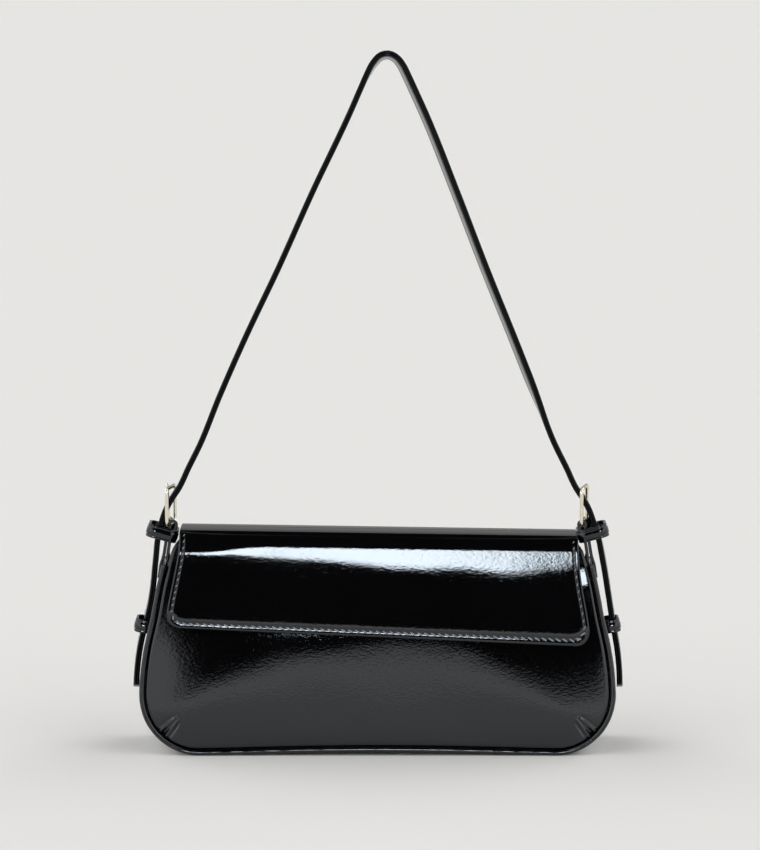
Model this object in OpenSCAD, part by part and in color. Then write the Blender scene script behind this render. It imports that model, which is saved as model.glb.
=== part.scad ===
// Baguette shoulder bag: a flat-based, tapered body with piped seams, a fold-over flap with a
// magnetic snap, and one strap held by a pin buckle at each side.
// +Z is up, the front faces -Y, and the origin is the middle of the base on the table.

/* [Body] */
// Width across the lower corners
body_w = 280; // [240:1:330]
// Height of the front and back panels
body_h = 126; // [105:1:150]
// Depth at the base
base_d = 66; // [56:1:80]
// Depth at the mouth
mouth_d = 26; // [22:1:32]
// Radius of the lower corners
corner_r = 34; // [28:1:40]
// Inward lean of each side, in degrees
side_taper = 9; // [7:0.5:11]
// Radius of the upper corners of the panels
shoulder_r = 14; // [11:1:18]
// Thickness of the panels and the gusset
panel_t = 1.8; // [1.5:0.1:2.4]
// Diameter of the piping
piping_d = 3; // [2.4:0.1:3.6]
// Gap of the sewn seam between piping and panel
seam_gap = 0.2; // [0.1:0.05:0.3]

/* [Lining] */
// Thickness of the textile lining
lining_t = 0.7; // [0.4:0.1:1]
// Thickness of the facings inside the mouth
facing_t = 1; // [0.7:0.1:1.3]
// Height of the facings
facing_h = 20; // [14:1:26]
// Thickness of the base board
board_t = 1.6; // [1:0.1:2.2]
// Width of the slip pocket
pocket_w = 150; // [100:5:180]
// Height of the slip pocket
pocket_h = 62; // [45:1:70]
// Thickness of the slip pocket's cloth
pocket_t = 0.6; // [0.4:0.1:0.8]

/* [Flap] */
// Width of the flap at its rear edge
flap_rear_w = 234; // [195:1:280]
// Width of the flap at its front fold
flap_fold_w = 239; // [199:1:286]
// Width of the flap near its free edge
flap_free_w = 251; // [209:1:300]
// Length of the flap from the front fold to its free edge
flap_drop = 55; // [46:1:66]
// Radius of the free corners
flap_corner_r = 10; // [6:1:14]
// Thickness of the flap's skin
flap_skin_t = 1.3; // [1:0.1:1.6]
// Thickness of the flap's stiffener
flap_stiffener_t = 0.5; // [0.3:0.1:0.8]
// Thickness of the flap's lining
flap_lining_t = 0.7; // [0.5:0.1:1]
// Inner radius of the front fold
flap_bend_r = 3; // [2.4:0.1:4]
// Space between flap and front panel, which the snap fills
flap_gap = 2.6; // [2.2:0.1:3.2]
// Clear height between the panels and the flap
flap_lift = 2.3; // [1.8:0.1:3]
// Depth of the flap's yoke on the back panel
yoke_h = 20; // [14:1:26]

/* [Snap] */
// Diameter of the snap's plates
snap_d = 14; // [11:0.5:17]
// Diameter of the snap's stud
stud_d = 5; // [4:0.25:6]
// Thickness of the snap's plates
plate_t = 0.55; // [0.4:0.05:0.7]
// Height of the snap's centre above the flap's free edge
snap_rise = 13; // [10:1:18]
// Diameter of the backing washers
washer_d = 17; // [13:0.5:20]
// Thickness of the backing washers
washer_t = 0.4; // [0.3:0.1:0.5]

/* [Strap] */
// Width of the strap
strap_w = 15; // [12:0.5:18]
// Thickness of the strap
strap_t = 3.4; // [2.8:0.1:3.6]
// Height of the strap's top above the panels
strap_rise = 292; // [243:1:350]
// Radius of the bend at the top of the strap
strap_bend_r = 9.8; // [8:0.2:14]
// Height of the ends of the strap's tails above the table
tail_end_z = 36; // [28:1:48]
// Corner radius of the ends of the strap's tails
tail_round = 5; // [3:0.5:6]
// Diameter of the punched holes
punch_d = 2.6; // [2:0.1:3.2]
// Distance between punched holes
punch_pitch = 18; // [14:1:22]
// Swing of the strap to the front and to the back, in degrees
strap_swing = 66; // [50:1:66]

/* [Buckles] */
// Height of the buckle frame
buckle_h = 24; // [21:0.5:27]
// Diameter of the buckle's wire
wire_d = 2.2; // [1.8:0.1:2.4]
// Corner radius of the buckle's wire
buckle_corner_r = 2.6; // [2.2:0.1:3.4]
// Side clearance of the strap in the frame
window_clear = 0.9; // [0.6:0.1:1.4]
// Turn of each buckle about the vertical, in degrees
buckle_turn = 12; // [0:1:14]
// Diameter of the prong
prong_d = 1.8; // [1.4:0.1:2]
// Wall of the prong's eye
eye_t = 0.9; // [0.6:0.1:1.2]
// Radial clearance of the prong's eye on the base bar
eye_clear = 0.05; // [0.02:0.01:0.1]
// Swing that the strap's hole leaves the prong, in degrees
prong_swing = 6; // [0:1:8]

/* [Keepers and chapes] */
// Thickness of one ply of the chapes
chape_t = 1.5; // [1.2:0.1:1.8]
// Thickness of the keepers
keeper_t = 1.4; // [1.1:0.1:1.7]
// Height of the keeper bands
keeper_h = 8.5; // [6.5:0.5:10]
// Upward tilt of the upper keepers, in degrees
keeper_tilt = 15; // [0:1:20]
// Height of the lower keepers' middle
lower_keeper_z = 75; // [62:1:90]
// Side clearance of the strap in the keepers
keeper_clear = 0.4; // [0.3:0.1:0.8]
// Inner depth of the upper keepers
upper_keeper_len = 7.8; // [6:0.2:9]
// Inner depth of the lower keepers
lower_keeper_len = 8.6; // [7:0.2:10]
// Outer corner radius of the keepers
keeper_round = 3; // [2.4:0.2:4]

/* [Hidden] */
$fn = 96;

touch = 0.3; // running gap between soft pieces of different bodies
ply_gap = 0.1; // gap between sewn layers
hole_clear = 0.7; // gap at each side of a prong in strap and chape
thread_slack = 0.7; // gap between the strap and what it threads through
far = 400; // longer than any piece, for cutting shapes
piping_r = piping_d / 2;
wire_r = wire_d / 2;
prong_r = prong_d / 2;

// Body: outline and leaning panel planes
corner_x = body_w / 2 - corner_r;
foot_y = base_d / 2 - piping_r;
lean = atan((foot_y - mouth_d / 2) / (body_h - piping_r));
panel_top = (body_h - piping_r) / cos(lean);
shoulder_u = panel_top - shoulder_r;
shoulder_z = piping_r + shoulder_u * cos(lean);
seam_r = corner_r - piping_r;
panel_inset = piping_r + seam_gap;
function plane_y(z) = foot_y - (z - piping_r) * tan(lean);
function side_x(z, inset) =
  corner_x + (corner_r - inset) / cos(side_taper) - (z - corner_r) * tan(side_taper);
function side_mid(z) = side_x(z, panel_t / 2);

// Lining stack, measured inwards from the outer faces
lining_at = panel_t + ply_gap;
lining_back = lining_at + lining_t;
facing_u = panel_top - facing_h;
board_z = panel_t + ply_gap;
lining_floor = board_z + board_t + ply_gap;
lining_margin = panel_t + 1; // from the panel's edge to the lining's
lining_drop = 12; // from the gusset's ends down to its lining's

// Flap: the fold's axis lies flap_bend_r inside the flap's inner face
flap_t = flap_lining_t + flap_stiffener_t + flap_skin_t;
flap_z = body_h + flap_lift;
fold_n = flap_gap - flap_bend_r;
fold_zf = flap_z - flap_bend_r;
fold_u = (fold_zf - piping_r - fold_n * sin(lean)) / cos(lean);
fold_y = -foot_y + fold_u * sin(lean) - fold_n * cos(lean);
hinge_z = flap_z + flap_t;
yoke_t = flap_skin_t;
hinge_y = plane_y(hinge_z) + yoke_t / cos(lean);
flap_rear_y = plane_y(hinge_z) - touch;
flap_free_u = fold_u - flap_drop;
stiffener_margin = 4;
yoke_corner_r = 4;
snap_u = flap_free_u + snap_rise;
socket_floor = 0.4;
snap_clear = 0.15; // between the closed snap's plates

// Strap fold: everything above it swings about the X axis
fold_z = body_h + 1;
keeper_in = strap_w / 2 + keeper_clear;
keeper_out = keeper_in + keeper_t;
// The upper keepers swing too, so the standing tails end below the arc that these sweep
keeper_dip = (strap_w / 2 - keeper_out * cos(strap_swing)) / sin(strap_swing);
swing_r = norm([keeper_out, keeper_dip]) + 2 * touch;

// Buckles stand where the sides' own line meets the base bar
bar_z = fold_z + 8;
bar_x = side_mid(bar_z);
bar_span = buckle_h - wire_d;
top_bar_z = bar_z + bar_span;
window_w = strap_w + 2 * window_clear;
prong_out = wire_r + eye_clear + prong_r + ply_gap;
eye_r = wire_r + eye_clear + eye_t;
turn_reach = strap_w / 2 * tan(buckle_turn); // how far a turned bar runs in and out

// Chapes, and the upper keepers that lie against them
loop_in = wire_r + ply_gap;
loop_out = loop_in + chape_t;
neck = panel_t / 2 + ply_gap + chape_t;
neck_drop = 9; // from the base bar down to where the two plies meet
anchor_h = 10; // how far the sewn end reaches down over the gusset
keeper_z = fold_z + 1.2 + keeper_h / 2;
keeper_x = bar_x + loop_out + turn_reach + (bar_z - keeper_z) * tan(keeper_tilt) + ply_gap;

// Route of the strap on one side, as [distance from the middle, height]
pass = [keeper_x + keeper_t + thread_slack + strap_t / 2, keeper_z];
pass_reach = (keeper_h / 2 + 1.5) * [-sin(keeper_tilt), cos(keeper_tilt)];
tail_out = ply_gap + keeper_t + lower_keeper_len - thread_slack - strap_t / 2;
tail_bend = [side_x(fold_z - 15, 0) + tail_out, fold_z - 15];
under_bar = (wire_r + strap_t / 2) / cos(buckle_turn) + turn_reach + thread_slack;
cross_low = [bar_x + 4.6, bar_z + 0.37 * bar_span];
cross_high = [bar_x - 1.4, bar_z + 0.71 * bar_span];
leg_foot = [bar_x - 17.5, top_bar_z + 25.5];
thread_route = [
  tail_bend,
  pass - pass_reach,
  pass + pass_reach,
  cross_low,
  cross_high,
  [bar_x - under_bar, top_bar_z],
  [bar_x - 10.8, top_bar_z + 12],
  leg_foot
];
tail_route = [
  pass - pass_reach,
  tail_bend,
  [side_x(lower_keeper_z, 0) + tail_out, lower_keeper_z],
  [side_x(lower_keeper_z - 15, 0) + tail_out + 0.6, lower_keeper_z - 15],
  [side_x(tail_end_z, 0) + tail_out - 0.8, tail_end_z - strap_t]
];
strap_apex_z = body_h + strap_rise - strap_t / 2;

// Hole for the prong: as long as the strap's slant and the prong's swing make it
cross_mid = (cross_low + cross_high) / 2;
cross_slant = atan2(cross_high[1] - cross_low[1], cross_low[0] - cross_high[0]);
cross_swing = (cross_mid[1] - bar_z) * tan(prong_swing);
hole_w = prong_d + 2 * hole_clear;
hole_h = strap_t / cos(cross_slant) + (hole_w + cross_swing) * tan(cross_slant);

// The strap's legs run straight from leg_foot to the bend at the top
bend_c = [0, strap_apex_z - strap_bend_r];
bend_steps = 14;
leg_gap = leg_foot - bend_c;
leg_angle = atan2(leg_gap[1], leg_gap[0]) + acos(strap_bend_r / norm(leg_gap));
bend_route = [
  for (i = [0 : bend_steps])
    let (a = leg_angle + (180 - 2 * leg_angle) * i / bend_steps)
      bend_c + strap_bend_r * [cos(a), sin(a)]
];
function mirrored(route) = [for (i = [len(route) - 1 : -1 : 0]) [-route[i][0], route[i][1]]];
loop_route = concat(thread_route, bend_route, mirrored(thread_route));

// Placing
module along_x(length) rotate([90, 0, 90]) linear_extrude(length, center = true) children();
module along_y(length) rotate([90, 0, 0]) linear_extrude(length, center = true) children();
module on_front() translate([0, -foot_y, piping_r]) rotate([90 - lean, 0, 0]) children();
module on_back() mirror([0, 1, 0]) on_front() children();
module in_side_view() translate([-foot_y, piping_r]) rotate(90 - lean) children();
module at_side(side) mirror([side < 0 ? 1 : 0, 0, 0]) children();
module at_buckle(side)
  at_side(side) translate([bar_x, 0, bar_z]) rotate([0, 0, -side * buckle_turn]) children();

// Flat shapes
// Outline with round lower corners, leaning sides and round shoulders
module form(radius, inset, top, shoulder) {
  lower_r = radius - inset;
  shoulder_y = top - shoulder;
  normal = [cos(side_taper), sin(side_taper)];
  rise = (shoulder_y - radius) * normal[1];
  shoulder_c = [corner_x + (lower_r - shoulder - rise) / normal[0], shoulder_y];
  lower_c = [corner_x, radius];
  half = [
    [corner_x, inset], lower_c + lower_r * normal, shoulder_c + shoulder * normal,
    [shoulder_c[0], top]
  ];
  for (m = [0, 1]) mirror([m, 0]) {
    polygon(concat([[0, inset]], half, [[0, top]]));
    translate(lower_c) circle(lower_r);
    translate(shoulder_c) circle(shoulder);
  }
}

// Strip of even thickness along a route, mitred at its bends
function unit(v) = v / norm(v);
function across(v) = [-v[1], v[0]] / norm(v);
function beside(route, i, off) =
  let (
    last = len(route) - 1,
    before = across(route[max(i, 1)] - route[max(i, 1) - 1]),
    after = across(route[min(i + 1, last)] - route[min(i, last - 1)]),
    mitre = unit(before + after)
  )
  route[i] + mitre * off / (mitre * after);
module band(route, thick) polygon(concat(
  [for (i = [0 : len(route) - 1]) beside(route, i, thick / 2)],
  [for (i = [len(route) - 1 : -1 : 0]) beside(route, i, -thick / 2)]
));

// Rounded rectangle, centred
module round_box(size, r) {
  for (x = [-1, 1], y = [-1, 1])
    translate([x * (size[0] / 2 - r), y * (size[1] / 2 - r)]) circle(r, $fn = 48);
  square([size[0] - 2 * r, size[1]], center = true);
  square([size[0], size[1] - 2 * r], center = true);
}

// Body
module panel_sheet() linear_extrude(panel_t)
  form(seam_r, panel_inset, panel_top, shoulder_r);
module front_panel() color("#0c0c0e") on_front() translate([0, 0, -panel_t]) panel_sheet();
module back_panel() color("#0c0c0e") on_back() translate([0, 0, -panel_t]) panel_sheet();

// Space between the two panels, less a margin at each
module between_panels(margin) {
  low = plane_y(0) - margin / cos(lean);
  high = plane_y(body_h) - margin / cos(lean);
  along_x(far) polygon([[-low, 0], [low, 0], [high, body_h], [-high, body_h]]);
}

module side_ring(outer, inner, floor_z, top) intersection() {
  along_y(far) difference() {
    intersection() {
      form(corner_r, outer, body_h, shoulder_r);
      translate([-far, outer + floor_z]) square([2 * far, top - outer - floor_z]);
    }
    intersection() {
      form(corner_r, inner, body_h + far, shoulder_r);
      translate([-far, inner + floor_z]) square([2 * far, far]);
    }
  }
  children();
}
module gusset() color("#0c0c0e")
  side_ring(0, panel_t, 0, shoulder_z) between_panels(panel_t);

// The straight runs are a hair thinner and start a little inside the bends' ends
module seam_piping() {
  hair = 0.02;
  start = 0.5;
  run = (shoulder_u - seam_r) / cos(side_taper) - seam_r * tan(side_taper);
  rotate([0, 90, 0]) cylinder(h = 2 * (corner_x + start), r = piping_r - hair, center = true);
  for (m = [0, 1]) mirror([m, 0, 0]) translate([corner_x, seam_r, 0]) {
    rotate([0, 0, -90]) rotate_extrude(angle = 90 + side_taper)
      translate([seam_r, 0]) circle(piping_r, $fn = 48);
    rotate([0, 0, side_taper]) translate([seam_r, -start, 0]) rotate([-90, 0, 0])
      cylinder(h = run + start, r = piping_r - hair, $fn = 48);
  }
}
module front_piping() color("#08080a") on_front() seam_piping();
module back_piping() color("#08080a") on_back() seam_piping();

// Inside
module base_board() color("#6b6458") intersection() {
  translate([0, 0, board_z + board_t / 2])
    cube([2 * corner_x, 2 * far, board_t], center = true);
  between_panels(lining_back + ply_gap);
}
module lining_sheet(from_u, to_u, at, thick) translate([0, 0, -at - thick]) linear_extrude(thick)
  intersection() {
    form(seam_r, panel_inset + lining_margin, panel_top, shoulder_r);
    translate([-far, from_u]) square([2 * far, to_u - from_u]);
  }
module front_lining() color("#2a2a2e") on_front()
  lining_sheet(lining_floor, facing_u - ply_gap, lining_at, lining_t);
module back_lining() color("#2a2a2e") on_back()
  lining_sheet(lining_floor, facing_u - ply_gap, lining_at, lining_t);
module front_facing() color("#0c0c0e") on_front()
  lining_sheet(facing_u, panel_top, lining_at, facing_t);
module back_facing() color("#0c0c0e") on_back()
  lining_sheet(facing_u, panel_top, lining_at, facing_t);
module gusset_lining() color("#2a2a2e")
  side_ring(lining_at, lining_back, lining_floor - lining_at, shoulder_z - lining_drop)
    between_panels(lining_back + ply_gap);
module slip_pocket() {
  foot_u = 24;
  seam_w = 3;
  color("#2a2a2e") on_back() translate([0, foot_u + pocket_h / 2, -lining_back]) difference() {
    translate([0, 0, -2 * pocket_t]) linear_extrude(2 * pocket_t)
      round_box([pocket_w, pocket_h], seam_w);
    translate([0, seam_w, -pocket_t]) linear_extrude(pocket_t + 1)
      square([pocket_w - 2 * seam_w, pocket_h], center = true);
  }
}

// Magnetic snap
module snap_socket() {
  socket_h = flap_gap - plate_t - snap_clear;
  color("silver") on_front() translate([0, snap_u, 0]) difference() {
    cylinder(h = socket_h, d = snap_d);
    translate([0, 0, socket_floor]) cylinder(h = socket_h, d = stud_d + 2 * touch);
  }
}
module socket_washer() color("silver") on_front()
  translate([0, snap_u, -lining_back - ply_gap - washer_t]) cylinder(h = washer_t, d = washer_d);
module snap_stud() {
  stud_from = socket_floor + touch;
  color("silver") on_front() translate([0, snap_u, 0]) {
    translate([0, 0, flap_gap - plate_t]) cylinder(h = plate_t, d = snap_d);
    translate([0, 0, stud_from]) cylinder(h = flap_gap - plate_t - stud_from, d = stud_d);
  }
}
module stud_washer() color("silver") on_front()
  translate([0, snap_u, flap_gap + flap_lining_t]) cylinder(h = washer_t, d = washer_d);

// Flap
module flap_outline() {
  half_fold = flap_fold_w / 2;
  half_free = flap_free_w / 2;
  flare = atan((half_free - half_fold) / flap_drop);
  inner_u = flap_free_u + flap_corner_r;
  inner_x = half_free - (flap_corner_r * (1 + sin(flare))) / cos(flare);
  corner_c = [inner_x, inner_u];
  edge = corner_c + flap_corner_r * [cos(flare), sin(flare)];
  for (m = [0, 1]) mirror([m, 0]) {
    polygon([
      [0, flap_free_u], [inner_x, flap_free_u], edge, [half_fold, fold_u],
      [half_fold, fold_u + far], [0, fold_u + far]
    ]);
    translate(corner_c) circle(flap_corner_r);
  }
}
module flap_front_layer(from, thick) {
  inner_r = flap_bend_r + from;
  under = 30;
  reach = far / 4;
  lap = 1;
  intersection() {
    along_x(far) in_side_view() {
      translate([flap_free_u, flap_gap + from]) square([flap_drop, thick]);
      translate([fold_u, fold_n]) intersection() {
        difference() {
          circle(inner_r + thick);
          circle(inner_r);
        }
        polygon([
          [0, 0], reach * [cos(lean - under), sin(lean - under)],
          reach * [1, 1], reach * [-sin(lap), cos(lap)]
        ]);
      }
    }
    on_front() linear_extrude(far / 4, center = true) flap_outline();
  }
}
module flap_top_layer(from, thick) intersection() {
  along_x(far) difference() {
    translate([fold_y, flap_z + from]) square([flap_rear_y - fold_y, thick]);
    translate([fold_y, fold_zf]) circle(flap_bend_r + flap_t + touch);
  }
  linear_extrude(2 * far) polygon([
    [-flap_fold_w / 2, fold_y], [flap_fold_w / 2, fold_y],
    [flap_rear_w / 2, hinge_y], [-flap_rear_w / 2, hinge_y]
  ]);
}
skin_from = flap_lining_t + flap_stiffener_t;
module flap_front_skin() color("#0c0c0e") flap_front_layer(skin_from, flap_skin_t);
module flap_front_lining() color("#2a2a2e") flap_front_layer(0, flap_lining_t);
module flap_stiffener() color("#6b6458") difference() {
  intersection() {
    flap_front_layer(flap_lining_t, flap_stiffener_t);
    on_front() translate([0, fold_u - far / 2, 0])
      cube([flap_fold_w - 2 * stiffener_margin, far, far / 4], center = true);
  }
  on_front() translate([0, snap_u, 0]) cylinder(h = far / 8, d = washer_d + 2 * ply_gap);
}
module flap_top_skin() color("#0c0c0e") flap_top_layer(skin_from, flap_skin_t);
module flap_top_lining() color("#2a2a2e") flap_top_layer(0, skin_from);
module flap_yoke() color("#0c0c0e") on_back() {
  top_u = (hinge_z - piping_r - yoke_t * sin(lean)) / cos(lean);
  low_u = panel_top - yoke_h;
  half = flap_rear_w / 2;
  linear_extrude(yoke_t) for (m = [0, 1]) mirror([m, 0]) {
    polygon([
      [0, low_u], [half - yoke_corner_r, low_u], [half, low_u + yoke_corner_r],
      [half, top_u], [0, top_u]
    ]);
    translate([half - yoke_corner_r, low_u + yoke_corner_r]) circle(yoke_corner_r);
  }
}

// Strap, cut by a round end about the fold's axis where it swings
module swing_round(r) rotate([0, 90, 0]) cylinder(h = far, r = r, center = true);
module swinging() intersection() {
  children();
  union() {
    translate([0, 0, fold_z + far / 2]) cube(far, center = true);
    translate([0, 0, fold_z]) swing_round(swing_r - touch);
  }
}
module standing() difference() {
  children();
  translate([0, 0, fold_z]) swing_round(swing_r);
  translate([0, 0, fold_z + far / 2]) cube(far, center = true);
}
module prong_hole(side) at_side(side) translate([cross_mid[0], 0, cross_mid[1]])
  cube([far / 8, hole_w, hole_h], center = true);
module strap() color("#0c0c0e") difference() {
  swinging() along_y(strap_w) band(loop_route, strap_t);
  for (side = [-1, 1]) prong_hole(side);
}
module strap_tail(side) {
  first_hole = tail_bend[1] - 12;
  color("#0c0c0e") at_side(side) standing() difference() {
    intersection() {
      along_y(strap_w) band(tail_route, strap_t);
      along_x(far) translate([0, tail_end_z + far / 4]) round_box([strap_w, far / 2], tail_round);
    }
    for (i = [0, 1]) translate([tail_bend[0], 0, first_hole - i * punch_pitch])
      rotate([0, 90, 0]) cylinder(h = far / 8, d = punch_d, center = true);
  }
}
module left_strap_tail() strap_tail(-1);
module right_strap_tail() strap_tail(1);

// Chapes: folded round the base bar, then sewn together down to the gusset's end
module along_side(side) at_side(side) translate([bar_x, 0, bar_z])
  rotate([0, -side_taper, 0]) children();
module chape(side) {
  low = -far / 8;
  color("#0c0c0e") swinging() difference() {
    union() {
      at_buckle(side) along_y(strap_w) circle(loop_out);
      along_side(side) along_y(strap_w - 1) polygon([
        [-loop_out, 0], [loop_out, 0], [neck, -neck_drop], [neck, low],
        [-neck, low], [-neck, -neck_drop]
      ]);
    }
    at_buckle(side) along_y(far) circle(loop_in);
    at_buckle(side) cube([4 * loop_out, hole_w, 2 * (loop_out + hole_clear)], center = true);
  }
}
module left_chape() chape(-1);
module right_chape() chape(1);
module chape_anchor(side) {
  low = shoulder_z - anchor_h - bar_z;
  color("#0c0c0e") standing() difference() {
    along_side(side) along_y(strap_w - 1) translate([-neck, low]) square([2 * neck, -low]);
    side_ring(-ply_gap, panel_t + ply_gap, -1, shoulder_z + ply_gap) cube(2 * far, center = true);
  }
}
module left_chape_anchor() chape_anchor(-1);
module right_chape_anchor() chape_anchor(1);

// Keepers
module keeper_loop(inner_len) difference() {
  linear_extrude(keeper_h, center = true)
    round_box([inner_len + 2 * keeper_t, 2 * keeper_out], keeper_round);
  linear_extrude(far, center = true)
    round_box([inner_len, 2 * keeper_in], keeper_round - keeper_t);
}
module upper_keeper(side) color("#0c0c0e") at_side(side) translate([keeper_x, 0, keeper_z])
  rotate([0, -keeper_tilt, 0]) translate([keeper_t + upper_keeper_len / 2, 0, 0])
    keeper_loop(upper_keeper_len);
module left_upper_keeper() upper_keeper(-1);
module right_upper_keeper() upper_keeper(1);
module lower_keeper(side) color("#0c0c0e") at_side(side)
  translate([side_x(lower_keeper_z, 0), 0, lower_keeper_z])
    rotate([0, -side_taper, 0]) translate([ply_gap + keeper_t + lower_keeper_len / 2, 0, 0])
      keeper_loop(lower_keeper_len);
module left_lower_keeper() lower_keeper(-1);
module right_lower_keeper() lower_keeper(1);

// Pin buckles
module buckle_wire() {
  r = buckle_corner_r;
  half_y = window_w / 2 + wire_r;
  half_z = bar_span / 2;
  for (m = [0, 1]) {
    mirror([0, 0, m]) translate([0, 0, half_z]) rotate([90, 0, 0])
      cylinder(h = 2 * (half_y - r), d = wire_d, center = true, $fn = 48);
    mirror([0, m, 0]) translate([0, half_y, 0])
      cylinder(h = 2 * (half_z - r), d = wire_d, center = true, $fn = 48);
    for (n = [0, 1]) mirror([0, m, 0]) mirror([0, 0, n]) translate([0, half_y - r, half_z - r])
      rotate([90, 0, 90]) rotate_extrude(angle = 90) translate([r, 0])
        circle(d = wire_d, $fn = 48);
  }
}
module buckle_frame(side) color("#d8cdb0") at_buckle(side)
  translate([0, 0, bar_span / 2]) buckle_wire();
module left_buckle_frame() buckle_frame(-1);
module right_buckle_frame() buckle_frame(1);
module prong(side) {
  eye_w = prong_d;
  start = wire_r + eye_clear + ply_gap;
  tip_z = bar_span + wire_r + ply_gap;
  slope = atan((prong_out - start) / bar_span);
  color("#d8cdb0") at_buckle(side) difference() {
    union() {
      rotate([90, 0, 0]) cylinder(h = eye_w, r = eye_r, center = true, $fn = 48);
      translate([start, 0, 0]) rotate([0, slope, 0]) {
        cylinder(h = tip_z, d = prong_d, $fn = 48);
        translate([0, 0, tip_z]) sphere(d = prong_d, $fn = 48);
      }
    }
    rotate([90, 0, 0]) cylinder(h = far, r = wire_r + eye_clear, center = true, $fn = 48);
  }
}
module left_prong() prong(-1);
module right_prong() prong(1);

front_panel();
back_panel();
gusset();
front_piping();
back_piping();
base_board();
front_lining();
back_lining();
gusset_lining();
front_facing();
back_facing();
slip_pocket();
snap_socket();
socket_washer();
flap_yoke();
left_chape_anchor();
right_chape_anchor();
left_strap_tail();
right_strap_tail();
left_lower_keeper();
right_lower_keeper();
flap_top_skin();
flap_top_lining();
flap_front_skin();
flap_stiffener();
flap_front_lining();
snap_stud();
stud_washer();
strap();
left_chape();
right_chape();
left_buckle_frame();
right_buckle_frame();
left_upper_keeper();
right_upper_keeper();
left_prong();
right_prong();
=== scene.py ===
"""A black patent baguette shoulder bag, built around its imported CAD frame."""

import math

import bmesh
import bpy
import numpy as np
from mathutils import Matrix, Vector


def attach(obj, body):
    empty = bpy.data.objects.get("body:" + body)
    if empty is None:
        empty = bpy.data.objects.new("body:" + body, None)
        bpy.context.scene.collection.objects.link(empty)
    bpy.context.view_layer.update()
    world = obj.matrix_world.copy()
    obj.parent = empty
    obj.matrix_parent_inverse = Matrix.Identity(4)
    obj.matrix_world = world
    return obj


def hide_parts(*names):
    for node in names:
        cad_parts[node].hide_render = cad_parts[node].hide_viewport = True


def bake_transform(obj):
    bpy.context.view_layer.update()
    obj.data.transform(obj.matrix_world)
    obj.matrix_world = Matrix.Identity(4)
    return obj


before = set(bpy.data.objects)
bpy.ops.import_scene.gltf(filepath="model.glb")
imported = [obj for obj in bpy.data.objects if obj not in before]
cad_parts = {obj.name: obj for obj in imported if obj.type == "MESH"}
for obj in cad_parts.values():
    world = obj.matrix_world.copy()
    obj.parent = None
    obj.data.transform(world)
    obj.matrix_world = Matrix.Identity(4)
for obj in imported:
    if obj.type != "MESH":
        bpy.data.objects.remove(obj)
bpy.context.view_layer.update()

# Shapes are worked out in millimetres and written to meshes in metres
MM = 0.001

# Body, as in the CAD model
BODY_W = 280.0
BODY_H = 126.0
BASE_D = 66.0
MOUTH_D = 26.0
CORNER_R = 34.0
SHOULDER_R = 14.0
SIDE_TAPER = math.radians(9)
PANEL_T = 1.8
PIPING_R = 1.5
SEAM_GAP = 0.2
CORNER_X = BODY_W / 2 - CORNER_R
SEAM_R = CORNER_R - PIPING_R
FOOT_Y = BASE_D / 2 - PIPING_R
LEAN = math.atan((FOOT_Y - MOUTH_D / 2) / (BODY_H - PIPING_R))
PANEL_TOP = (BODY_H - PIPING_R) / math.cos(LEAN)
SHOULDER_U = PANEL_TOP - SHOULDER_R

# Where the soft body departs from its plain form, and the ranges over which it does so
SIDE_BOW = [
    (0, 0), (15, 0.8), (34, 1.8), (50, 3.2), (62, 3.4), (81, 2.2), (100, 1.6),
    (110, 0.9), (119, 0.1), (130, 0),
]
BOW_X = (60, 125)
BASE_ARCH = 2.0
ARCH_HALF_W = 112
ARCH_Z = (2, 45)
TOP_SKEW = 0.0153
SKEW_LIMIT_X = 118
SKEW_FADE_X = (112, 128)
SKEW_Z = (60, BODY_H)
CROWN = 4.2

# Flap
FLAP_SKIN_T = 1.8
FLAP_LINING_T = 0.7
FLAP_CORNER_R = 10.0
FLAP_SHIFT = 0.8
STITCH_PITCH = 4.1
STITCH_LEN = 3.1
STITCH_INSET = 3.0
STITCH_SLANT = 0.85
FLAP_TOP_Y, FLAP_TOP_Z = 11.0, 131.4
FLAP_SPLIT = 11.0
FLAP_FOLD_END = 36.0
FLAP_END = 88.0
YOKE_END = -24.0
SNAP_Z = 83.2

# Strap, buckles and keepers
STRAP_W = 15.0
STRAP_T = 3.4
BAR_X, BAR_Z = 123.516, 135.0
BUCKLE_TURN = math.radians(12)
KEEPER_H = 7.8
KEEPER_T = 1.4
KEEPER_OUT = 9.7
KEEPER_LEAN = 0.17


# Small maths helpers
def smooth(x, a, b):
    """Rises smoothly from 0 at a to 1 at b."""
    t = np.clip((np.asarray(x, float) - a) / (b - a), 0, 1)
    return t * t * (3 - 2 * t)


def hump(d, width, power=2):
    """A bell shape: 1 in the middle, falling away over its width."""
    return np.exp(-((d / width) ** power))


def round_off(d, r):
    """What a round corner of radius r takes off, at d into the corner."""
    return r - np.sqrt(np.clip(r**2 - d**2, 0, None))


def lengths(points):
    """Distance along a line of points."""
    return np.r_[0, np.cumsum(np.linalg.norm(np.diff(points, axis=0), axis=1))]


def smooth_value(x, xs, values):
    """Value at x of a smooth curve through the values at xs."""
    slopes = np.gradient(values, xs)
    x = np.clip(np.asarray(x, float), xs[0], xs[-1])
    i = np.clip(np.searchsorted(xs, x, side="right") - 1, 0, len(xs) - 2)
    h = xs[i + 1] - xs[i]
    s = (x - xs[i]) / h
    return (
        (2 * s**3 - 3 * s**2 + 1) * values[i]
        + (s**3 - 2 * s**2 + s) * (slopes[i] * h)
        + (-2 * s**3 + 3 * s**2) * values[i + 1]
        + (s**3 - s**2) * (slopes[i + 1] * h)
    )


def curve_value(x, table):
    """Smooth value at x of a short table of (x, value) pairs."""
    return smooth_value(x, *np.array(table, float).T)


def spline(points, t):
    """Smooth curve through the points, at t from 0 to 1 by chord length."""
    knots = lengths(points)
    knots = knots / knots[-1]
    return np.stack([smooth_value(t, knots, column) for column in points.T], 1)


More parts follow.
